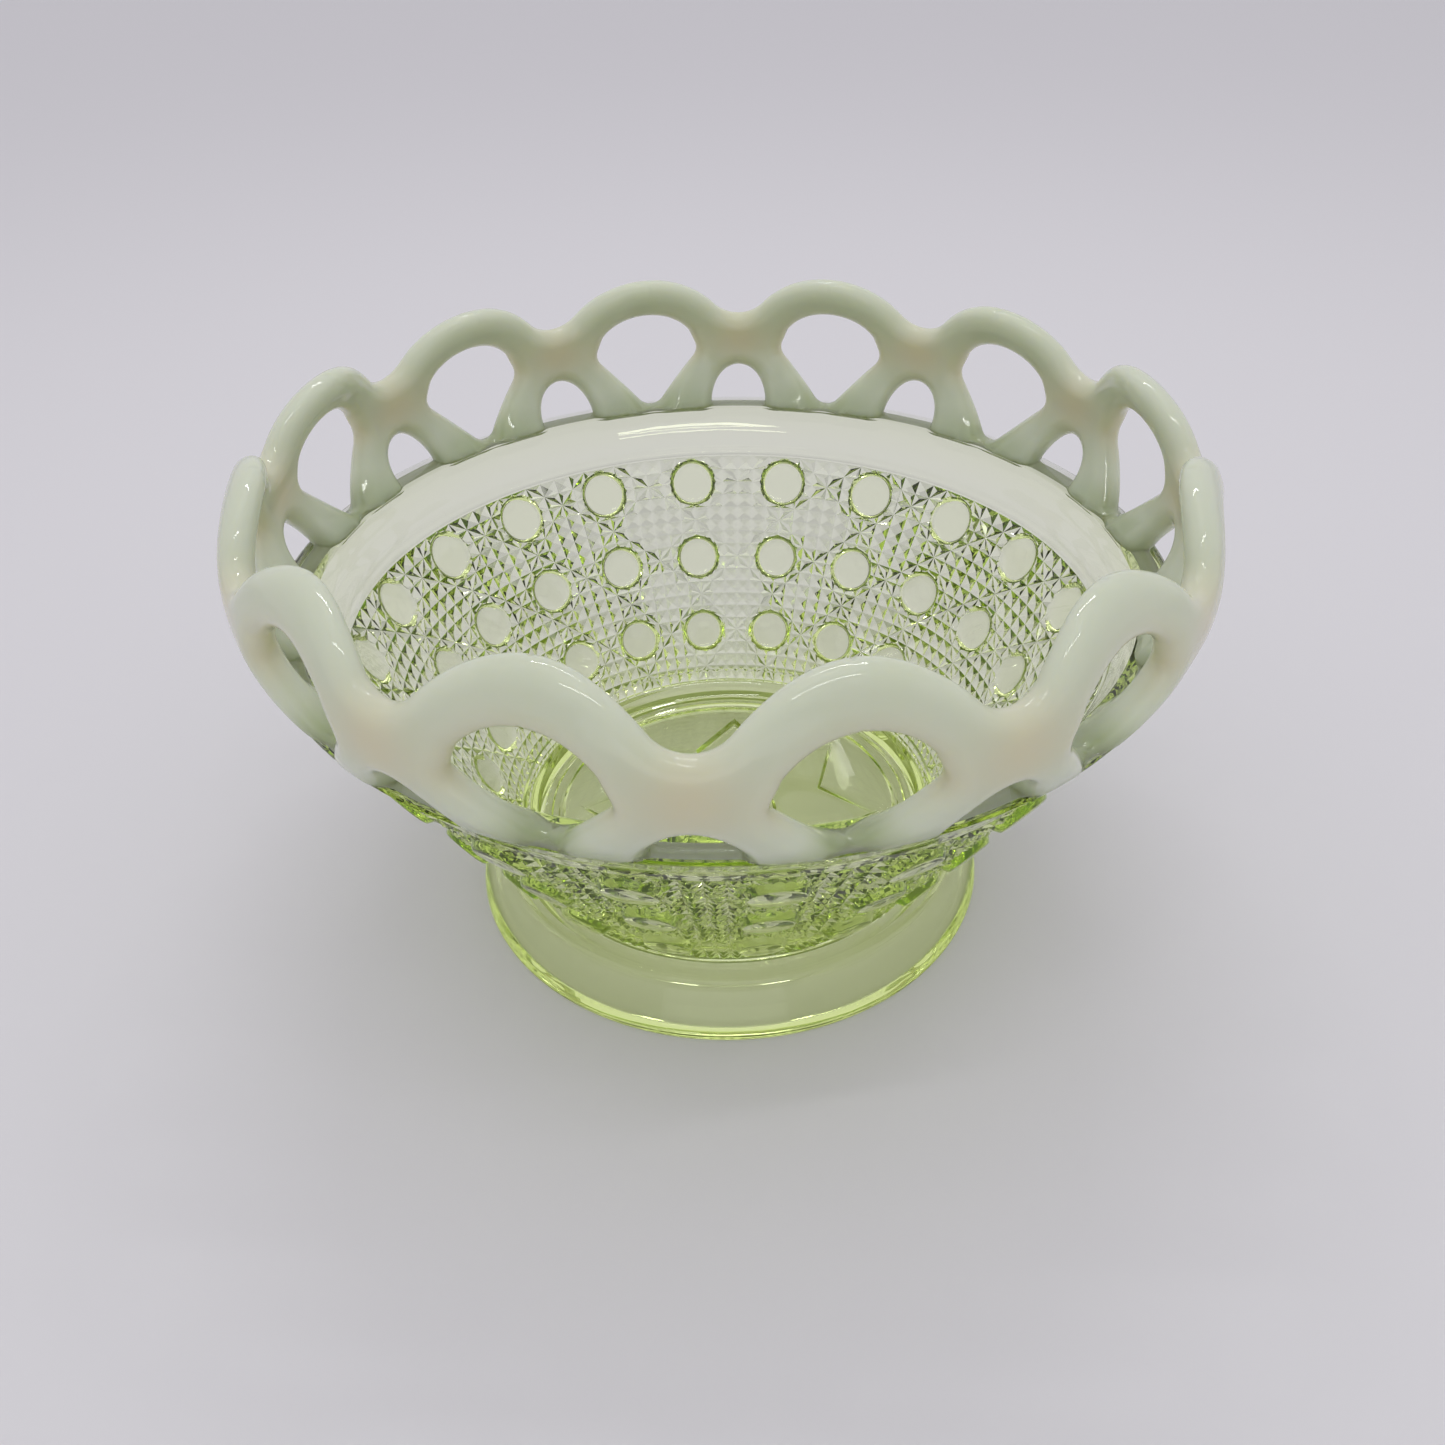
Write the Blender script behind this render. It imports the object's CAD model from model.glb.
"""Looks of a footed pressed-glass dish: one clear casting with an opal lace rim, on a studio floor."""

import math

import bmesh
import bpy
import numpy as np
from bpy.props import FloatProperty, FloatVectorProperty, IntProperty, PointerProperty
from mathutils import Matrix, Vector
from mathutils.geometry import delaunay_2d_cdt


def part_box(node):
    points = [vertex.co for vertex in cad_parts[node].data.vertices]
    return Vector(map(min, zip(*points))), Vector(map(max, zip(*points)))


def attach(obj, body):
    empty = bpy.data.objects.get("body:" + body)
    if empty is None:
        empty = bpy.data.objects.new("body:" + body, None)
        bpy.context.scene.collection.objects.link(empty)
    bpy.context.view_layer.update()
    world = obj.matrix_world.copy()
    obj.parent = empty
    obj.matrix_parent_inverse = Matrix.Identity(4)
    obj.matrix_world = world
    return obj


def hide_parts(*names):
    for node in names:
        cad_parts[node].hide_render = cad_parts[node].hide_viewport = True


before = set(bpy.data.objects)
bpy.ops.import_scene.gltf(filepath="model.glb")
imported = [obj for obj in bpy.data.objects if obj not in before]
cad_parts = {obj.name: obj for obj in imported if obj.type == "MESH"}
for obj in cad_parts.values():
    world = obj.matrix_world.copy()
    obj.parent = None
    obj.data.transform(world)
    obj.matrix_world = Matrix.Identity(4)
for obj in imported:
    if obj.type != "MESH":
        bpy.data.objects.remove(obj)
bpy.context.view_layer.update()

bl_info = {
    "name": "Pressed-glass dish",
    "version": (1, 0, 0),
    "blender": (4, 5, 0),
    "location": "3D View > Sidebar > Glass dish",
    "description": "Builds a footed pressed-glass dish with an opal lace rim",
    "category": "Object",
}

MM = 0.001
STAR_RELIEF = 1.8  # depth of the star's relief here, as a share of the CAD star's
GLOW_LOW, GLOW_HIGH = 16.0 * MM, 34.0 * MM  # the surface glow fades out between these heights
SURFACE_GLOW = 0.027  # emission strength at the foot and floor
LIGHT_BOUNCES = 28  # light crosses the cut wall many times before it leaves the glass
ROWS = ("buttons_lower", "buttons_middle", "buttons_upper")
CLEAR_NODES = (
    "foot_skirt", "foot_bead", "floor_disc", "base_star", "floor_step", "floor_ridges",
    "bowl_wall", *ROWS, "cane_points_base", "cane_panels_lower", "cane_panels_upper",
    "collar", "collar_bead")
LACE_NODES = sorted(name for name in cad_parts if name.startswith("lace_cross"))
LACE_COUNT = len(LACE_NODES)


def reach(node):
    """Largest distance of a node from the dish's axis, in millimetres."""
    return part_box(node)[1][0] / MM


def low(node):
    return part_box(node)[0][2] / MM


def high(node):
    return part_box(node)[1][2] / MM


def linear(text):
    """An sRGB hex colour as linear RGBA."""
    parts = [int(text[i:i + 2], 16) / 255 for i in (1, 3, 5)]
    return [c / 12.92 if c < 0.04045 else ((c + 0.055) / 1.055) ** 2.4 for c in parts] + [1.0]


# ---------------------------------------------------------------- sizes and colours


class CastingSizes(bpy.types.PropertyGroup):
    """Sizes of the clear casting: foot, floor, patterned bowl and collar."""

    button_count: IntProperty(
        name="Buttons in a row", description="Round buttons in each of the three rows",
        default=20, min=8, max=40)
    cuts_per_cell: IntProperty(
        name="Cuts in a cell", description="V-cuts across one button's share of the wall",
        default=6, min=4, max=8)
    cut_depth: FloatProperty(
        name="Cut depth", description="Most that a cut point stands above its cuts",
        default=1.0 * MM, unit="LENGTH")
    cut_slope: FloatProperty(
        name="Cut slope", description="Rise of a cut's side over its width", default=0.75)
    button_rise: FloatProperty(
        name="Button rise", description="Height of a button above the cuts",
        default=2.0 * MM, unit="LENGTH")
    button_width: FloatProperty(
        name="Button width", description="Diameter of a button in the upper row",
        default=11.6 * MM, unit="LENGTH")


class LaceSizes(bpy.types.PropertyGroup):
    """Sizes of the lace rim."""

    depth: FloatProperty(
        name="Strand depth", description="Depth of a strand from the inner to the outer side",
        default=6.0 * MM, unit="LENGTH")
    width: FloatProperty(
        name="Strand width", description="Width of a strand at the crest of an arch",
        default=8.5 * MM, unit="LENGTH")
    bulge: FloatProperty(
        name="Bulge radius", description="Radius of the rim's bulge, seen from the side",
        default=22.0 * MM, unit="LENGTH")
    edge: FloatProperty(
        name="Edge rounding", description="Width over which a strand's edge is rounded",
        default=3.4 * MM, unit="LENGTH")


class GlassColours(bpy.types.PropertyGroup):
    """Colours of the two glasses."""

    tint: FloatVectorProperty(
        name="Tint of the clear glass", description="Colour left by the depth of the glass",
        subtype="COLOR", size=4, min=0, max=1, default=(0.80, 0.90, 0.30, 1.0))
    tint_density: FloatProperty(
        name="Tint density", description="Absorption of the clear glass for each metre",
        default=60.0, min=0)
    glow: FloatVectorProperty(
        name="Glow", description="Colour of the uranium glass's own faint fluorescence",
        subtype="COLOR", size=4, min=0, max=1, default=(0.85, 1.0, 0.22, 1.0))
    glow_strength: FloatProperty(
        name="Glow strength", description="Light that each metre of the clear glass gives off",
        default=0.4, min=0)
    opal: FloatVectorProperty(
        name="Opal", description="Colour of the milky lace", subtype="COLOR", size=4,
        min=0, max=1, default=linear("#c9d0bd"))
    opal_root: FloatVectorProperty(
        name="Opal at the root", description="Colour where the lace turns clear at the collar",
        subtype="COLOR", size=4, min=0, max=1, default=linear("#bcc8a2"))
    opal_glow: FloatVectorProperty(
        name="Opal glow", description="Warm colour of light that comes through thick opal glass",
        subtype="COLOR", size=4, min=0, max=1, default=linear("#d6c8a4"))


class StageSettings(bpy.types.PropertyGroup):
    """Floor, light and camera."""

    floor: FloatVectorProperty(
        name="Floor", description="Colour of the floor", subtype="COLOR", size=4,
        min=0, max=1, default=linear("#dcdbdd"))
    sky: FloatProperty(
        name="Light all round", description="Strength of the even light", default=0.80, min=0)
    lens: FloatProperty(
        name="Lens", description="Focal length on a 36 mm sensor, in millimetres", default=30.73)


# ---------------------------------------------------------------- small tools


def add_node(tree, kind, settings=None, **inputs):
    """Adds a node; settings are its properties, inputs are values or sockets to link."""
    node = tree.nodes.new(kind)
    for name, value in (settings or {}).items():
        setattr(node, name, value)
    for name, value in inputs.items():
        name = name.replace("_", " ")
        socket = node.inputs[int(name[1:])] if name[0] == "i" and name[1:].isdigit() \
            else node.inputs[name]
        if isinstance(value, bpy.types.NodeSocket):
            tree.links.new(value, socket)
        else:
            socket.default_value = value
    return node


def new_material(name):
    material = bpy.data.materials.new(name)
    material.use_nodes = True
    material.node_tree.nodes.clear()
    return material, material.node_tree


def mesh_object(name, points, faces, attributes=None):
    """Object from points in millimetres, with float attributes for its points."""
    mesh = bpy.data.meshes.new(name)
    mesh.from_pydata([tuple(c * MM for c in p) for p in points], [], faces)
    for key, values in (attributes or {}).items():
        mesh.attributes.new(key, "FLOAT", "POINT").data.foreach_set("value", values)
    obj = bpy.data.objects.new(name, mesh)
    bpy.context.scene.collection.objects.link(obj)
    return obj


def ring_tree(name, rings):
    """Node tree that repeats each of its shapes about the dish's axis and joins them all."""
    tree = bpy.data.node_groups.new(name, "GeometryNodeTree")
    face = tree.interface
    face.new_socket("Geometry", in_out="INPUT", socket_type="NodeSocketGeometry")
    for ring in rings:
        face.new_socket(ring, in_out="INPUT", socket_type="NodeSocketObject")
        face.new_socket(f"{ring} count", in_out="INPUT", socket_type="NodeSocketInt")
    face.new_socket("Weld distance", in_out="INPUT", socket_type="NodeSocketFloat")
    face.new_socket("Material", in_out="INPUT", socket_type="NodeSocketMaterial")
    face.new_socket("Geometry", in_out="OUTPUT", socket_type="NodeSocketGeometry")
    source = tree.nodes.new("NodeGroupInput")
    joined = tree.nodes.new("GeometryNodeJoinGeometry")
    for ring in rings:
        info = add_node(tree, "GeometryNodeObjectInfo", Object=source.outputs[ring])
        count = source.outputs[f"{ring} count"]
        points = add_node(tree, "GeometryNodePoints", Count=count)
        index = tree.nodes.new("GeometryNodeInputIndex")
        step = add_node(tree, "ShaderNodeMath", {"operation": "DIVIDE"}, i0=math.tau, i1=count)
        turn = add_node(
            tree, "ShaderNodeMath", {"operation": "MULTIPLY"}, i0=index.outputs[0],
            i1=step.outputs[0])
        axis = add_node(tree, "ShaderNodeCombineXYZ", Z=turn.outputs[0])
        copies = add_node(
            tree, "GeometryNodeInstanceOnPoints", Points=points.outputs[0],
            Instance=info.outputs["Geometry"], Rotation=axis.outputs[0])
        tree.links.new(copies.outputs[0], joined.inputs[0])
    real = add_node(tree, "GeometryNodeRealizeInstances", Geometry=joined.outputs[0])
    weld = add_node(
        tree, "GeometryNodeMergeByDistance", Geometry=real.outputs[0],
        Distance=source.outputs["Weld distance"])
    finish = add_node(
        tree, "GeometryNodeSetMaterial", Geometry=weld.outputs[0],
        Material=source.outputs["Material"])
    sink = tree.nodes.new("NodeGroupOutput")
    tree.links.new(finish.outputs[0], sink.inputs[0])
    return tree


def repeat_round(name, rings, material, crease):
    """Plain closed mesh made of shapes repeated about the axis; rings maps a name to a shape."""
    tree = ring_tree(f"{name}_rings", list(rings))
    base = mesh_object(name, [], [])
    modifier = base.modifiers.new("Rings", "NODES")
    modifier.node_group = tree
    values = {"Weld distance": 0.002 * MM, "Material": material}
    for ring, (shape, count) in rings.items():
        values[ring] = shape
        values[f"{ring} count"] = count
    for item in tree.interface.items_tree:
        if item.in_out == "INPUT" and item.name in values:
            modifier[item.identifier] = values[item.name]
    depsgraph = bpy.context.evaluated_depsgraph_get()
    made = bpy.data.meshes.new_from_object(base.evaluated_get(depsgraph))
    base.modifiers.clear()
    base.data = made
    made.name = name
    for shape, _count in rings.values():
        bpy.data.objects.remove(shape)
    shell = bmesh.new()
    shell.from_mesh(made)
    bmesh.ops.dissolve_degenerate(shell, dist=0.001 * MM, edges=shell.edges[:])
    bmesh.ops.recalc_face_normals(shell, faces=shell.faces[:])
    open_edges = sum(not edge.is_manifold for edge in shell.edges)
    shell.to_mesh(made)
    shell.free()
    if open_edges:
        raise RuntimeError(f"{name} has {open_edges} edges that two faces don't share")
    made.polygons.foreach_set("use_smooth", [True] * len(made.polygons))
    made.set_sharp_from_angle(angle=crease)
    return base


def triangles(points, edges):
    """Flat triangles between points that keep the given edges, without slivers on the hull."""
    found, _edges, faces, *_rest = delaunay_2d_cdt(points, edges, [], 0, 1e-5)
    places = np.array([tuple(p) for p in found])
    faces = np.array(faces)
    a, b, c = (places[faces[:, i]] for i in range(3))
    area = (b[:, 0] - a[:, 0]) * (c[:, 1] - a[:, 1]) - (b[:, 1] - a[:, 1]) * (c[:, 0] - a[:, 0])
    return places, faces[np.abs(area) > 1e-5]


def finish_piece(piece, nodes):
    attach(piece, "root")
    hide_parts(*nodes)


# ---------------------------------------------------------------- the clear casting


class Wall:
    """The bowl's outer cone, and the lattice of cells that its pattern is laid out on."""

    def __init__(self, sizes):
        self.base_z, self.top_z = low("bowl_wall"), high("bowl_wall")
        self.top_r = reach("bowl_wall")
        self.base_r = high_point_r("foot_bead")
        self.slope = (self.top_r - self.base_r) / (self.top_z - self.base_z)
        self.lean = math.atan(self.slope)
        height = self.top_z - self.base_z
        self.cuts = sizes.cuts_per_cell
        self.pitch_a = math.tau / sizes.button_count
        self.pitch_z = 0.3135 * height
        self.first_z = self.base_z + 0.229 * height
        self.button = sizes.button_width / MM / 2
        self.rise = sizes.button_rise / MM
        self.depth = sizes.cut_depth / MM
        self.cut_slope = sizes.cut_slope

    def radius(self, z):
        return self.base_r + (z - self.base_z) * self.slope

    def row(self, z):
        """Height on the lattice, in cuts above the lower row of buttons."""
        return (z - self.first_z) / self.pitch_z * self.cuts

    def z(self, row):
        return self.first_z + row * self.pitch_z / self.cuts

    def scale(self, row):
        """Millimetres along the rim and up the wall for one cut's spacing."""
        return (
            self.pitch_a / self.cuts * self.radius(self.z(row)),
            self.pitch_z / self.cuts / math.cos(self.lean))

    def point(self, column, row, rise):
        """Point above the wall, at a place on the lattice."""
        angle = column / self.cuts * self.pitch_a
        z = self.z(row)
        r = self.radius(z) + rise * math.cos(self.lean)
        return (r * math.cos(angle), r * math.sin(angle), z - rise * math.sin(self.lean))

    def cap_point(self, row, across, up, rise):
        """Point on the flat button in mid-cell, from millimetres across and up its face."""
        angle = self.pitch_a / 2
        z = self.z(row)
        c, s = math.cos(self.lean), math.sin(self.lean)
        r = self.radius(z) + up * s + rise * c
        z += up * c - rise * s
        return (
            r * math.cos(angle) - across * math.sin(angle),
            r * math.sin(angle) + across * math.cos(angle), z)


def high_point_r(node):
    """Outer radius of a node's top face, in millimetres."""
    points = [v.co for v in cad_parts[node].data.vertices]
    top = max(p.z for p in points)
    return max(math.hypot(p.x, p.y) for p in points if p.z > top - 1e-5) / MM


def ground_rise(wall, column, row, start, end):
    """Height of the cut ground: it falls to nothing at each V-cut and at the band's ends."""
    across, up = wall.scale(row)
    half = wall.cuts
    gaps = [
        abs(column - round(column)) * across,
        abs(row - round(row)) * up]
    diagonal = across * up / math.hypot(across, up)
    for s in (column + row, column - row):
        gaps.append(abs(s - round(s / half) * half) * diagonal)
    if min(row - start, end - row) < 1e-4:
        return 0.0
    return min(wall.depth, wall.cut_slope * min(gaps))


def pattern_field(wall, start, end):
    """Points and triangles of one cell-wide strip of the pattern, between two lattice rows."""
    n = wall.cuts
    points, edges = [], []

    def point(column, row):
        points.append(Vector((column, row)))
        return len(points) - 1

    def line(a, b):
        a, b = sorted((a, b), key=lambda p: p[1])
        if b[1] < start or a[1] > end:
            return
        if a[1] < b[1]:
            slope = (b[0] - a[0]) / (b[1] - a[1])
            first, last = max(a[1], start), min(b[1], end)
            a, b = (a[0] + (first - a[1]) * slope, first), (a[0] + (last - a[1]) * slope, last)
        edges.append((point(*a), point(*b)))

    outline = [(0, start), (n, start), (n, end), (0, end)]
    for i in range(4):
        line(outline[i], outline[(i + 1) % 4])
    lip = 0.12
    for row in (start + lip, end - lip):
        line((0, row), (n, row))
    for column in range(1, n):
        line((column, start), (column, end))
    for row in range(math.ceil(start), math.floor(end) + 1):
        line((0, row), (n, row))
    for column in range(n):
        for row in range(math.floor(start), math.ceil(end)):
            cut_up = (column - row) % n == 0
            cut_down = (column + row + 1) % n == 0
            corners = [
                (column, row), (column + 1, row), (column + 1, row + 1), (column, row + 1)]
            if not (cut_up or cut_down):
                halves = [(corners, (column + 0.5, row + 0.5))]
            else:
                inner, outer = 1 - math.sqrt(0.5), math.sqrt(0.5)
                if cut_up:
                    line(corners[0], corners[2])
                    halves = [
                        ([corners[0], corners[1], corners[2]], (column + outer, row + inner)),
                        ([corners[0], corners[2], corners[3]], (column + inner, row + outer))]
                else:
                    line(corners[1], corners[3])
                    halves = [
                        ([corners[0], corners[1], corners[3]], (column + inner, row + inner)),
                        ([corners[1], corners[2], corners[3]], (column + outer, row + outer))]
            for shape, top in halves:
                for corner in shape:
                    line(corner, top)
    buttons = []
    for index, share in enumerate((0.91, 0.95, 1.0)):
        row = index * n
        radius = wall.button * share
        across, up = wall.scale(row)
        for ring in (radius + 0.25, radius):
            loop = [
                (n / 2 + ring * math.cos(t) / across, row + ring * math.sin(t) / up)
                for t in np.linspace(0, math.tau, 40, endpoint=False)]
            for i in range(40):
                line(loop[i - 1], loop[i])
        buttons.append((row, radius, loop))
    found, faces = triangles(points, edges)
    return found, faces, buttons


def pattern_strip(wall, start, end):
    """Mesh data of the strip: cut ground with a raised button in each row."""
    places, faces, buttons = pattern_field(wall, start, end)
    n = wall.cuts
    centres = places[faces].mean(axis=1)
    points = [
        wall.point(x, y, ground_rise(wall, x, y, start, end)) for x, y in places.tolist()]
    open_ground = np.ones(len(faces), bool)
    for _row, _radius, loop in buttons:
        open_ground &= ~within(centres, loop)
    kept = faces[open_ground].tolist()
    # The buttons' faces: a rounded shoulder, then a slightly domed top.
    for row, radius, outline in buttons:
        across, up = wall.scale(row)
        rims = np.flatnonzero(distance_to(places, np.array(outline + outline[:1])) < 1e-4)
        turns = np.arctan2((places[rims, 1] - row) * up, (places[rims, 0] - n / 2) * across)
        order = np.argsort(turns)
        rims, turns = rims[order].tolist(), turns[order].tolist()
        for i, turn in zip(rims, turns):
            points[i] = wall.cap_point(
                row, radius * math.cos(turn), radius * math.sin(turn), wall.rise - 1.5)
        loop = rims
        for inset, rise in (
                (0.3, -0.95), (0.6, -0.45), (0.85, -0.16), (1.2, 0.0), (2.4, 0.12),
                (radius - 1.2, 0.2)):
            ring = []
            for turn in turns:
                r = radius - inset
                ring.append(len(points))
                points.append(wall.cap_point(
                    row, r * math.cos(turn), r * math.sin(turn), wall.rise + rise))
            for k in range(len(rims)):
                m = (k + 1) % len(rims)
                kept.append([loop[k], loop[m], ring[m], ring[k]])
            loop = ring
        centre = len(points)
        points.append(wall.cap_point(row, 0, 0, wall.rise + 0.21))
        kept.extend([loop[k], loop[(k + 1) % len(rims)], centre] for k in range(len(rims)))
    return points, kept


def casting_outlines(wall, start, end):
    """The turned parts of the casting, as chains of (radius, height) points.

    The first chain runs from the pattern's foot round the foot and under the floor to the
    star; the second runs from the pattern's top over the collar and down the inside.
    """
    foot_r, foot_top = reach("foot_skirt"), high("foot_skirt")
    waist_r = high_point_r("foot_skirt")
    floor_r, floor_top = reach("floor_disc"), high("floor_disc")
    star_r = reach("base_star") + 2.2
    collar_z, collar_r = high("collar"), reach("collar")
    inner_r = wall.top_r - 5.0
    foot_t = 4.6
    hollow_r = waist_r - foot_t - 1
    base_r, base_z = wall.base_r, wall.base_z
    start_z, end_z = wall.z(start), wall.z(end)
    outside = [
        (wall.radius(start_z), start_z), (base_r + 0.05, base_z - 0.1),
        (base_r + 0.6, base_z - 1.1), (waist_r - 1.3, foot_top + 2.3),
        (waist_r - 0.6, foot_top + 1.95), (waist_r + 0.2, foot_top + 1.7),
        (waist_r + 0.5, foot_top + 1.1), (waist_r + 0.42, foot_top + 0.5),
        (waist_r + 0.12, foot_top + 0.05), (waist_r + 0.1, foot_top - 0.5),
        (waist_r + 0.45, 0.85 * foot_top), (waist_r + 1.1, 0.76 * foot_top),
        (waist_r + 2.1, 0.64 * foot_top), (waist_r + 3.2, 0.5 * foot_top),
        (foot_r - 1.4, 0.36 * foot_top), (foot_r - 0.7, 2.4), (foot_r - 0.28, 1.5),
        (foot_r - 0.06, 0.8), (foot_r, 0.45), (foot_r - 0.1, 0.16), (foot_r - 0.4, 0.0),
        (foot_r - foot_t + 1.0, 0.0), (foot_r - foot_t + 0.3, 0.12),
        (foot_r - foot_t - 0.2, 0.5), (foot_r - foot_t - 0.8, 1.4),
        (foot_r - foot_t - 1.6, 0.28 * foot_top), (foot_r - foot_t - 2.1, 0.34 * foot_top),
        (foot_r - foot_t - 3.1, 0.42 * foot_top), (foot_r - foot_t - 4.0, 0.56 * foot_top),
        (foot_r - foot_t - 4.5, 0.62 * foot_top), (hollow_r + 1.0, 0.7 * foot_top),
        (hollow_r + 0.2, 0.86 * foot_top),
        (hollow_r - 0.4, 0.95 * foot_top), (hollow_r - 1.4, foot_top),
        (star_r + 4.0, foot_top), (star_r + 3.4, foot_top - 0.25),
        (star_r + 2.8, foot_top - 0.25), (star_r + 2.2, foot_top), (star_r, foot_top)]
    step_r, step_top = reach("floor_step"), high("floor_step")
    rise_z = collar_z - end_z - 3.2
    edge_r = wall.radius(end_z)
    inside = [
        (edge_r, end_z), (edge_r + 0.3, end_z + 0.15), (edge_r + 0.75, end_z + 0.45),
        (edge_r + 1.05, end_z + 0.85), (edge_r + 1.25, end_z + 1.35),
        (edge_r + 1.45, end_z + 1.8), (edge_r + 1.75, end_z + 2.3),
        (edge_r + 2.3, end_z + 3.2)]
    for t in (0.12, 0.26, 0.4, 0.54, 0.68, 0.82, 0.94):
        inside.append((
            edge_r + 2.3 + (collar_r - edge_r - 2.3) * t ** 1.08, end_z + 3.2 + rise_z * t))
    root_r = collar_r - 8.1
    inside += [
        (collar_r - 0.25, collar_z - 0.25), (collar_r - 0.8, collar_z),
        (collar_r - 4.0, collar_z + 0.0), (root_r + 0.9, collar_z),
        (root_r + 0.3, collar_z - 0.15), (root_r, collar_z - 0.6),
        (root_r - 0.95, collar_z - 2.4), (root_r - 1.6, collar_z - 3.8),
        (root_r - 1.85, collar_z - 4.05), (root_r - 2.05, collar_z - 4.4),
        (root_r - 3.0, collar_z - 6.4), (root_r - 3.9, collar_z - 8.2),
        (root_r - 4.2, collar_z - 8.5), (root_r - 4.45, collar_z - 8.9)]
    wall_top = collar_z - 10.6
    for z in np.linspace(wall_top, step_top + 0.6, 14):
        inside.append((inner_r + (z - wall.top_z) * wall.slope, float(z)))
    inside += [
        (step_r - 0.35, step_top - 0.05), (step_r - 0.9, step_top - 0.2),
        (step_r - 1.25, step_top - 0.7), (step_r - 1.6, step_top - 1.7),
        (step_r - 2.0, step_top - 2.5), (step_r - 2.6, step_top - 2.9),
        (step_r - 3.0, step_top - 3.3), (step_r - 3.5, step_top - 4.6),
        (floor_r - 0.1, floor_top + 0.35), (floor_r - 0.5, floor_top + 0.05)]
    for middle in (floor_r - 1.6, floor_r - 4.4):
        inside += [
            (middle + 0.75, floor_top + 0.0), (middle + 0.45, floor_top + 0.45),
            (middle, floor_top + 0.6), (middle - 0.45, floor_top + 0.45),
            (middle - 0.75, floor_top + 0.0)]
    inside += [(r, floor_top) for r in (floor_r - 7.0, 28.0, 18.0, 9.0, 3.0)]
    return outside, inside


def turned_strip(outline, columns, angle):
    """Points and faces of an outline turned through an angle, on even columns."""
    points, faces = [], []
    for r, z in outline:
        for i in range(columns + 1):
            a = angle * i / columns
            points.append((r * math.cos(a), r * math.sin(a), z))
    width = columns + 1
    for j in range(len(outline) - 1):
        for i in range(columns):
            k = j * width + i
            faces.append([k, k + 1, k + 1 + width, k + width])
    return points, faces


def seam_strip(ring, outline_point, columns, angle):
    """Triangles between a row of pattern points and a turned row of even columns."""
    r, z = outline_point
    even = [
        (r * math.cos(angle * i / columns), r * math.sin(angle * i / columns), z)
        for i in range(columns + 1)]
    points = ring + even
    turns = [math.atan2(p[1], p[0]) for p in points]
    faces = []
    i, j = 0, len(ring)
    while i < len(ring) - 1 or j < len(points) - 1:
        last_i, last_j = i == len(ring) - 1, j == len(points) - 1
        if last_j or (not last_i and turns[i + 1] <= turns[j + 1]):
            faces.append([i, i + 1, j])
            i += 1
        else:
            faces.append([i, j + 1, j])
            j += 1
    return points, faces


def star_wedge(columns, count, edge_r, z):
    """One point's share of the star under the floor: two half points and a notch."""
    tip, drop = reach("base_star"), STAR_RELIEF * (z - low("base_star"))
    angle = math.tau / count
    points, edges = [], []

    def chain(places):
        first = len(points)
        points.extend(Vector((r * math.cos(a), r * math.sin(a))) for r, a in places)
        edges.extend((i, i + 1) for i in range(first, len(points) - 1))

    turns = [angle * i / columns for i in range(columns + 1)]
    chain([(edge_r, a) for a in turns])
    levels = []
    for inset, level in ((0.0, 0.0), (0.45, 0.35), (0.9, 0.9), (1.4, 1.0)):
        star = [
            (tip - 1.9 * inset, 0), (0.67 * tip - inset, angle / 2), (tip - 1.9 * inset, angle)]
        chain(star)
        levels.append((star, level))
    hub = 0.32 * tip
    for r in (hub, hub - 0.9, 3.0):
        chain([(r, a) for a in turns[::3]])
    chain([(0, 0), (edge_r, 0)])
    chain([(0, 0), (edge_r, angle)])
    flat, faces = triangles(points, edges)
    raised = []
    for x, y in flat.tolist():
        level = 0.0
        for star, share in levels:
            outline = np.array([(r * math.cos(a), r * math.sin(a)) for r, a in star])
            loop = np.vstack([outline, [[0, 0]]])
            place = np.array([[x, y]])
            if within(place, loop)[0] or distance_to(place, outline)[0] < 1e-3:
                level = share
        if math.hypot(x, y) < hub - 0.5:
            level = 0.0
        raised.append((x, y, z - drop * level))
    return raised, faces.tolist()


def join(parts):
    points, faces = [], []
    for some_points, some_faces in parts:
        shift = len(points)
        points += some_points
        faces += [[i + shift for i in face] for face in some_faces]
    return points, faces


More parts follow.
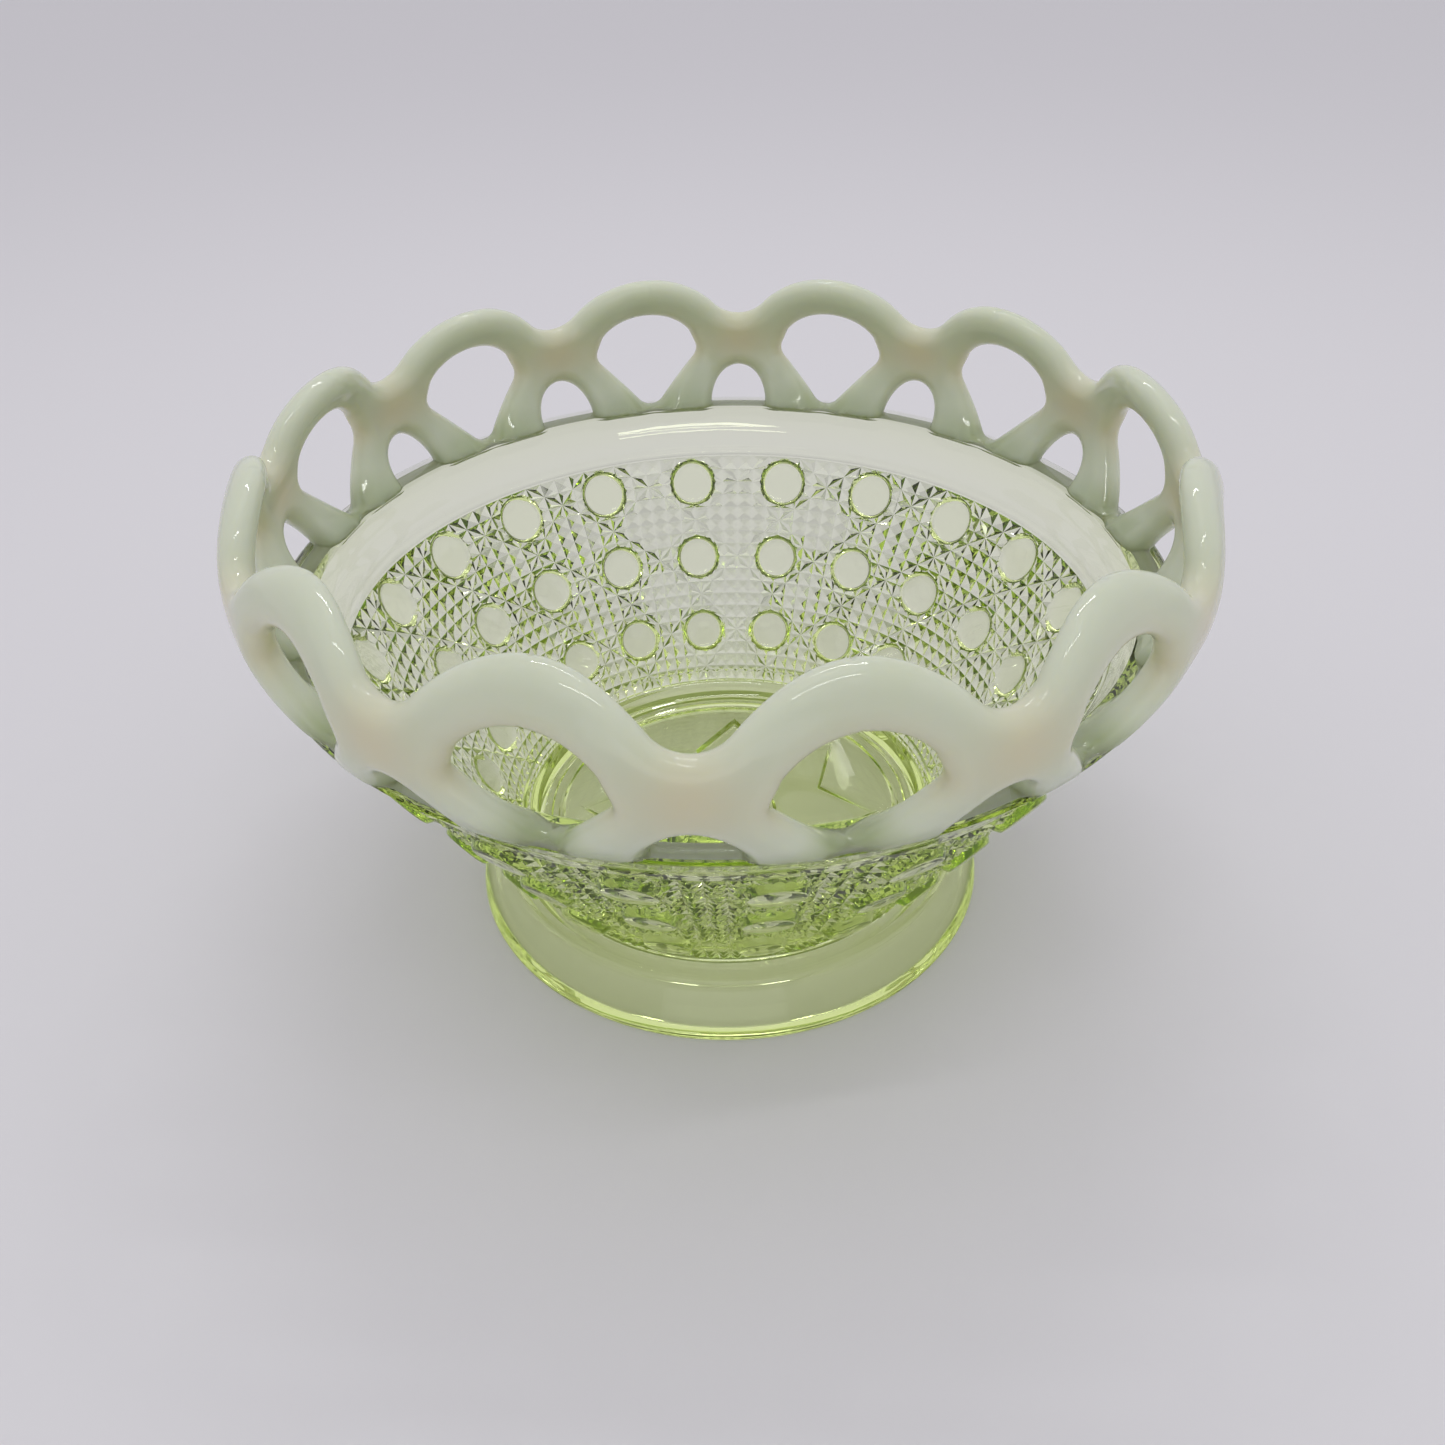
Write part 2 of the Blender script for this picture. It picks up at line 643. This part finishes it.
def clear_glass(colours):
    """Pressed uranium-tinted soda glass, fire-polished: clear face on, yellow-green in depth.

    The absorption gives the thick edges their green; the weak emission, stronger in the thick
    foot and floor, gives them the light that a room sends through the glass.
    """
    material, tree = new_material("pressed_green_glass")
    grain = add_node(tree, "ShaderNodeTexCoord")
    ripple = add_node(
        tree, "ShaderNodeTexNoise", Vector=grain.outputs["Object"], Scale=90.0, Detail=2.0,
        Roughness=0.5)
    bump = add_node(
        tree, "ShaderNodeBump", Strength=0.04, Distance=0.6 * MM, Height=ripple.outputs[0])
    place = add_node(tree, "ShaderNodeSeparateXYZ", Vector=grain.outputs["Object"])
    thick = add_node(
        tree, "ShaderNodeMapRange", Value=place.outputs[2], From_Min=GLOW_LOW,
        From_Max=GLOW_HIGH, To_Min=SURFACE_GLOW, To_Max=0.0)
    glass = add_node(
        tree, "ShaderNodeBsdfPrincipled", Normal=bump.outputs[0],
        Base_Color=(1, 1, 1, 1), Roughness=0.0, IOR=1.52, Emission_Color=tuple(colours.glow),
        Emission_Strength=thick.outputs[0])
    glass.inputs["Transmission Weight"].default_value = 1.0
    depth = add_node(
        tree, "ShaderNodeVolumeAbsorption", Color=tuple(colours.tint),
        Density=colours.tint_density)
    glow = add_node(
        tree, "ShaderNodeEmission", Color=tuple(colours.glow), Strength=colours.glow_strength)
    inside = add_node(
        tree, "ShaderNodeAddShader", i0=depth.outputs[0], i1=glow.outputs[0])
    add_node(
        tree, "ShaderNodeOutputMaterial", Surface=glass.outputs[0], Volume=inside.outputs[0])
    return material


class DISH_OT_casting(bpy.types.Operator):
    """Build the clear casting: foot, floor, patterned bowl and collar in one closed glass shell"""

    bl_idname = "glass_dish.casting"
    bl_label = "Clear casting"

    def execute(self, context):
        sizes = context.scene.dish_casting
        wall = Wall(sizes)
        columns = 12
        start, end = wall.row(wall.base_z + 0.3), wall.row(wall.top_z - 1.7)
        strip, faces = pattern_strip(wall, start, end)
        outside, inside = casting_outlines(wall, start, end)
        parts = [(strip, faces)]
        for row, chain in ((start, outside), (end, inside)):
            z = wall.z(row)
            ring = sorted(
                {(round(p[0], 6), round(p[1], 6), round(p[2], 6)) for p in strip
                 if abs(p[2] - z) < 1e-4},
                key=lambda p: math.atan2(p[1], p[0]))
            parts.append(seam_strip(ring, chain[1], columns, wall.pitch_a))
            parts.append(turned_strip(chain[1:], columns, wall.pitch_a))
        floor_r, floor_z = inside[-1]
        hub = [(0.0, 0.0, floor_z)] + [
            (floor_r * math.cos(wall.pitch_a * i / columns),
             floor_r * math.sin(wall.pitch_a * i / columns), floor_z)
            for i in range(columns + 1)]
        parts.append((hub, [[0, i, i + 1] for i in range(1, columns + 1)]))
        sector = mesh_object("casting_sector", *join(parts))
        star_count = 8
        star_columns = sizes.button_count * columns // star_count
        star = mesh_object(
            "star_sector", *star_wedge(star_columns, star_count, *outside[-1]))
        piece = repeat_round(
            "glass_casting",
            {"Sector": (sector, sizes.button_count), "Star": (star, star_count)},
            clear_glass(context.scene.dish_colours), math.radians(24))
        finish_piece(piece, CLEAR_NODES)
        return {"FINISHED"}


# ---------------------------------------------------------------- the opal lace


def arc(cx, cy, r, start, end, step=0.1):
    """Points along an arc, angles in radians."""
    count = max(2, math.ceil(abs(end - start) * r / step) + 1)
    return [(cx + r * math.cos(t), cy + r * math.sin(t)) for t in np.linspace(start, end, count)]


def rounded(corners, radii):
    """Dense chain through corners, each rounded to its radius; its two ends stay sharp."""
    out = [corners[0]]
    for before, here, after, radius in zip(corners, corners[1:], corners[2:], radii):
        here = np.array(here)
        back, ahead = np.array(before) - here, np.array(after) - here
        back_l, ahead_l = np.linalg.norm(back), np.linalg.norm(ahead)
        half = math.acos(float(back @ ahead) / back_l / ahead_l) / 2
        cut = min(radius / math.tan(half), 0.48 * back_l, 0.48 * ahead_l)
        first, last = here + back / back_l * cut, here + ahead / ahead_l * cut
        out += [
            tuple((1 - t) ** 2 * first + 2 * t * (1 - t) * here + t ** 2 * last)
            for t in np.linspace(0, 1, 24)]
    return out + [corners[-1]]


def even(chain, step):
    """The same chain, with points at an even spacing near the given step."""
    chain = np.array(chain)
    along = np.concatenate([[0], np.cumsum(np.linalg.norm(np.diff(chain, axis=0), axis=1))])
    at = np.linspace(0, along[-1], max(2, round(along[-1] / step) + 1))
    return np.stack([np.interp(at, along, chain[:, k]) for k in (0, 1)], axis=1)


def distance_to(points, chain):
    """Distance from each point to a chain of segments."""
    best = np.full(len(points), 1e9)
    for p, q in zip(chain[:-1], chain[1:]):
        along = q - p
        t = np.clip((points - p) @ along / max(along @ along, 1e-12), 0, 1)
        best = np.minimum(best, np.linalg.norm(points - p - t[:, None] * along, axis=1))
    return best


def within(points, loop):
    """Whether each point is inside a closed loop."""
    x, y = points[:, 0], points[:, 1]
    inside = np.zeros(len(points), bool)
    ends = np.array(loop)
    for (x0, y0), (x1, y1) in zip(ends, np.roll(ends, -1, axis=0)):
        if y0 != y1:
            crosses = (y0 > y) != (y1 > y)
            inside ^= crosses & (x < (x1 - x0) * (y - y0) / (y1 - y0) + x0)
    return inside


def smooth(t):
    t = np.clip(t, 0, 1)
    return t * t * (3 - 2 * t)


class Lace:
    """One repeat of the rim, from crest to crest, in a flat view square to the dish.

    x runs along the rim and y up from the collar, in millimetres.
    """

    def __init__(self, sizes):
        self.depth, self.width = sizes.depth / MM, sizes.width / MM
        self.bulge, self.edge = sizes.bulge / MM, sizes.edge / MM
        self.root_z = low(LACE_NODES[0])
        self.height = high(LACE_NODES[0]) - self.root_z
        self.centre_r = reach(LACE_NODES[0]) - self.depth / 2 - self.bulge
        self.centre_z = self.root_z + 0.46 * self.height
        crest_rise = self.root_z + self.height - self.width / 2 - self.centre_z
        self.crest_r = self.centre_r + math.sqrt(self.bulge ** 2 - crest_rise ** 2)
        self.span = self.crest_r * math.sin(math.pi / LACE_COUNT)
        self.bottom = -1.2
        # The rounded top of a leaning strand stands above its outline by this share.
        self.squeeze = 0.978

    def crest_edge(self):
        """Upper edge: half an arch, the valley above the crossing, and half an arch."""
        span, h = self.span, self.height
        crest, drop = 1.0 * span, 0.32 * h
        total = (span ** 2 + drop ** 2) / (2 * drop)
        valley = total - crest
        split = math.asin(span / total)
        right = arc(span, h - crest, crest, math.pi / 2, math.pi / 2 + split)
        middle = arc(
            0, h - drop + valley, valley, -math.pi / 2 + split, -math.pi / 2 - split)
        left = [(-x, y) for x, y in reversed(right)]
        return even(right + middle[1:-1] + left, 0.75)

    def large_opening(self):
        """Half of the large opening, from its lowest point up to its highest."""
        corner_x, corner_y = 0.56 * self.span, 0.39 * self.height
        top_y = self.height - self.width
        rise = top_y - corner_y
        radius = (corner_x ** 2 + rise ** 2) / (2 * rise)
        spread = math.asin(min(1, corner_x / radius))
        arch = arc(0, top_y - radius, radius, math.pi / 2 + spread, math.pi / 2)
        low_r, low_y = 4.0, 0.35 + 4.0
        away = math.hypot(corner_x, corner_y - low_y)
        leave = math.atan2(corner_y - low_y, -corner_x) + math.acos(low_r / away)
        foot = arc(0, low_y, low_r, 1.5 * math.pi, leave)
        third = len(arch) // 3
        side = rounded([foot[-1], (-corner_x, corner_y), arch[third]], [3.6])
        return even(foot + side[1:] + arch[third + 1:], 0.75)

    def small_opening(self):
        """The arched opening between two legs, cut a little into the collar."""
        wide, tall = 0.31 * self.span, 8.2
        side = [
            (wide * math.cos(t), 0.2 + tall * math.sin(t) ** 1.15)
            for t in np.linspace(0, math.pi, 40)]
        loop = rounded([(0, -0.5), (wide, -0.5), *side, (-wide, -0.5), (0, -0.5)], [0.4] * 43)
        return even(loop, 0.7)

    def place(self, x, y, side):
        """Point of the rim for a place on the flat view, side millimetres from its middle."""
        rise = max(y, 0.0) * self.squeeze + self.root_z - self.centre_z
        lean = math.asin(rise / self.bulge)
        level = lean * float(smooth(y / 9))
        out = side / math.cos(lean - level)
        if y < 0:
            out *= 1 + 0.25 * y / -self.bottom
        turn = math.asin(x / self.crest_r)
        r = self.centre_r + self.bulge * math.cos(lean) + out * math.cos(level)
        z = self.centre_z + rise + min(y, 0.0) + out * math.sin(level)
        return (r * math.cos(turn), r * math.sin(turn), z)


def lace_unit(lace):
    """Mesh data of one repeat of the rim, and how milky and how warm each point is."""
    span, bottom = lace.span, lace.bottom
    crest, small = lace.crest_edge(), lace.small_opening()
    right = lace.large_opening() + np.array([span, 0])
    left = right * np.array([-1, 1])
    floor = even([(-span, bottom), (span, bottom)], 1.0)
    ring = np.concatenate([floor, right, crest, left[::-1]])
    free = (crest, small, right, left)

    def inset(points):
        return np.min([distance_to(points, chain) for chain in free], axis=0)

    grid = np.array([
        (x, y) for j, y in enumerate(np.arange(bottom + 0.7, lace.height, 0.9))
        for x in np.arange(-span + 0.9 + 0.5 * (j % 2), span - 0.6, 1.05)])
    cloud = [grid[inset(grid) > lace.edge + 0.4]]
    for chain in free:
        along = np.gradient(chain, axis=0)
        normal = np.stack([-along[:, 1], along[:, 0]], axis=1)
        normal /= np.linalg.norm(normal, axis=1)[:, None]
        for share in (0.03, 0.1, 0.23, 0.4, 0.6, 0.82, 1.04):
            for side in (lace.edge * share, -lace.edge * share):
                moved = chain + normal * side
                cloud.append(moved[inset(moved) > 0.95 * abs(side)])
    cloud = np.concatenate(cloud)
    solid = within(cloud, ring) & ~within(cloud, small)
    cloud = cloud[solid & (np.abs(cloud[:, 0]) < span - 0.2) & (cloud[:, 1] > bottom + 0.4)]
    points, edges = [Vector(p) for p in cloud], []
    seams = [
        even([(span, bottom), right[0]], 0.7),
        even([right[-1], crest[0]], 0.7)]
    seams += [chain * np.array([-1, 1]) for chain in seams]
    for chain in (*free, floor, *seams):
        first = len(points)
        points.extend(Vector(p) for p in chain)
        edges.extend((i, i + 1) for i in range(first, len(points) - 1))
    flat, faces = triangles(points, edges)
    centres = flat[faces].mean(axis=1)
    faces = faces[within(centres, ring) & ~within(centres, small)]
    used = np.unique(faces)
    flat, faces = flat[used], np.searchsorted(used, faces)
    depth = inset(flat)
    depth[depth < 1e-4] = 0
    reach_in = np.minimum(depth / lace.edge, 1)
    half = lace.depth / 2 * np.sqrt(1 - (1 - reach_in) ** 2)
    x, y = flat[:, 0], flat[:, 1]
    lift = (np.abs(x) / span) ** 2
    milk = smooth((y + 3 - 2 * lift) / (8 + 2 * lift))
    crossing = np.exp(-(x / 7.5) ** 2 - ((y - 0.5 * lace.height) / 6.5) ** 2)
    rims = np.exp(-np.minimum(distance_to(flat, right), distance_to(flat, left)) / 2.2)
    warm = np.clip(crossing + 0.7 * rims * smooth((y - 6) / 8), 0, 1)
    out, twin = [], []
    for (px, py), side in zip(flat.tolist(), half.tolist()):
        twin.append(len(out))
        out.append(lace.place(px, py, side))
    back = []
    for i, ((px, py), side) in enumerate(zip(flat.tolist(), half.tolist())):
        if side > 0:
            back.append(len(out))
            out.append(lace.place(px, py, -side))
        else:
            back.append(twin[i])
    shell = faces.tolist() + [[back[c], back[b], back[a]] for a, b, c in faces.tolist()]
    base = np.flatnonzero(np.abs(y - bottom) < 1e-3)
    base = base[np.argsort(x[base])].tolist()
    shell += [[back[a], back[b], b, a] for a, b in zip(base, base[1:])]
    order = np.arange(len(flat))[half > 0]
    values = {
        "milk": np.concatenate([milk, milk[order]]), "warm": np.concatenate([warm, warm[order]])}
    return out, shell, values


def opal_glass(colours):
    """Heat-struck opal glass, fire-polished: milky at the crests, greener at the collar."""
    material, tree = new_material("heat_struck_opal_glass")
    milk = add_node(tree, "ShaderNodeAttribute", {"attribute_name": "milk"})
    warm = add_node(tree, "ShaderNodeAttribute", {"attribute_name": "warm"})
    place = add_node(tree, "ShaderNodeTexCoord")
    cloud = add_node(
        tree, "ShaderNodeTexNoise", Vector=place.outputs["Object"], Scale=60.0, Detail=3.0,
        Roughness=0.5)
    uneven = add_node(
        tree, "ShaderNodeMapRange", Value=cloud.outputs[0], From_Min=0.35, From_Max=0.65,
        To_Min=-0.12, To_Max=0.12)
    strength = add_node(
        tree, "ShaderNodeMath", {"operation": "ADD", "use_clamp": True},
        i0=milk.outputs["Fac"], i1=uneven.outputs[0])
    body = add_node(
        tree, "ShaderNodeMix", {"data_type": "RGBA"}, i0=strength.outputs[0],
        i6=tuple(colours.opal_root), i7=tuple(colours.opal))
    glow = add_node(
        tree, "ShaderNodeMath", {"operation": "MULTIPLY"}, i0=warm.outputs["Fac"], i1=0.5)
    tone = add_node(
        tree, "ShaderNodeMix", {"data_type": "RGBA"}, i0=glow.outputs[0], i6=body.outputs[2],
        i7=tuple(colours.opal_glow))
    clear = add_node(
        tree, "ShaderNodeMapRange", Value=milk.outputs["Fac"], To_Min=0.4, To_Max=0.04)
    glass = add_node(
        tree, "ShaderNodeBsdfPrincipled", Base_Color=tone.outputs[2], Roughness=0.03, IOR=1.5,
        Transmission_Weight=clear.outputs[0], Subsurface_Weight=0.9, Subsurface_Scale=0.008)
    glass.inputs["Subsurface Radius"].default_value = (1.0, 0.92, 0.7)
    add_node(tree, "ShaderNodeOutputMaterial", Surface=glass.outputs[0])
    return material


class DISH_OT_lace(bpy.types.Operator):
    """Build the opal lace rim: crossed strands between the collar and the crests"""

    bl_idname = "glass_dish.lace"
    bl_label = "Opal lace"

    def execute(self, context):
        unit = mesh_object("lace_unit", *lace_unit(Lace(context.scene.dish_lace)))
        piece = repeat_round(
            "opal_lace", {"Cross": (unit, LACE_COUNT)}, opal_glass(context.scene.dish_colours),
            math.radians(60))
        finish_piece(piece, LACE_NODES)
        return {"FINISHED"}


# ---------------------------------------------------------------- the stage


class DISH_OT_stage(bpy.types.Operator):
    """Lay the floor, light the dish and set the camera"""

    bl_idname = "glass_dish.stage"
    bl_label = "Stage"

    def execute(self, context):
        settings = context.scene.dish_stage
        colour, tree = new_material("matt_floor_paper")
        paper = add_node(
            tree, "ShaderNodeBsdfPrincipled", Base_Color=tuple(settings.floor), Roughness=0.9)
        paper.inputs["Specular IOR Level"].default_value = 0.2
        add_node(tree, "ShaderNodeOutputMaterial", Surface=paper.outputs[0])
        # A hair under the foot, so that glass and floor never share a face.
        half, gap = 6000, 0.05
        corners = [(x * half, y * half, -gap) for x, y in ((-1, -1), (1, -1), (1, 1), (-1, 1))]
        floor = mesh_object("stage_floor", corners, [[0, 1, 2, 3]])
        floor.data.materials.append(colour)
        world = bpy.data.worlds.new("studio")
        context.scene.world = world
        world.use_nodes = True
        world.node_tree.nodes["Background"].inputs[0].default_value = linear("#f4f2f8")
        world.node_tree.nodes["Background"].inputs[1].default_value = settings.sky
        for name, place, size, power in (
                ("back strip", (0.0, 0.32, 0.75), (0.42, 0.03), 0.7),
                ("front strip", (0.05, -0.22, 0.78), (0.42, 0.03), 0.4),
                ("front low", (0.0, -1.1, 0.32), (1.0, 0.5), 0.8),
                ("top soft", (0.0, 0.1, 1.1), (0.5, 0.5), 0.3)):
            light = bpy.data.lights.new(name, "AREA")
            light.shape = "RECTANGLE"
            light.size, light.size_y = size
            light.energy = power
            lamp = bpy.data.objects.new(name, light)
            lamp.location = place
            lamp.rotation_euler = (Vector((0, 0, 0.05)) - Vector(place)).to_track_quat(
                "-Z", "Y").to_euler()
            context.scene.collection.objects.link(lamp)
        camera_data = bpy.data.cameras.new("camera")
        camera_data.lens = settings.lens
        camera_data.sensor_width = 36
        camera = bpy.data.objects.new("camera", camera_data)
        camera.location = (0.0126, -0.2188, 0.1996)
        forward, up = Vector((-0.0495, 0.8018, -0.5956)), Vector((-0.0121, 0.5958, 0.8030))
        right = forward.cross(up).normalized()
        up = right.cross(forward).normalized()
        forward.normalize()
        rows = [[right[i], up[i], -forward[i]] for i in range(3)]
        camera.rotation_euler = Matrix(rows).to_euler()
        context.scene.collection.objects.link(camera)
        context.scene.camera = camera
        context.scene.view_settings.view_transform = "Standard"
        context.scene.cycles.max_bounces = LIGHT_BOUNCES
        context.scene.cycles.transmission_bounces = LIGHT_BOUNCES
        return {"FINISHED"}


class DISH_PT_sidebar(bpy.types.Panel):
    """The dish's pieces, with their sizes and colours"""

    bl_label = "Glass dish"
    bl_idname = "DISH_PT_sidebar"
    bl_space_type = "VIEW_3D"
    bl_region_type = "UI"
    bl_category = "Glass dish"

    def draw(self, context):
        layout = self.layout
        for operator, group in STEPS:
            layout.operator(operator.bl_idname)
            settings = getattr(context.scene, group)
            for key in settings.__annotations__:
                layout.prop(settings, key)


STEPS = (
    (DISH_OT_casting, "dish_casting"), (DISH_OT_lace, "dish_lace"), (DISH_OT_stage, "dish_stage"))
GROUPS = {
    "dish_casting": CastingSizes, "dish_lace": LaceSizes, "dish_colours": GlassColours,
    "dish_stage": StageSettings}
CLASSES = (*GROUPS.values(), *(step[0] for step in STEPS), DISH_PT_sidebar)


def register():
    for cls in CLASSES:
        bpy.utils.register_class(cls)
    for name, group in GROUPS.items():
        setattr(bpy.types.Scene, name, PointerProperty(type=group))


def unregister():
    for name in GROUPS:
        delattr(bpy.types.Scene, name)
    for cls in reversed(CLASSES):
        bpy.utils.unregister_class(cls)


def main():
    register()
    bpy.ops.glass_dish.casting()
    bpy.ops.glass_dish.lace()
    bpy.ops.glass_dish.stage()


if __name__ == "__main__":
    main()
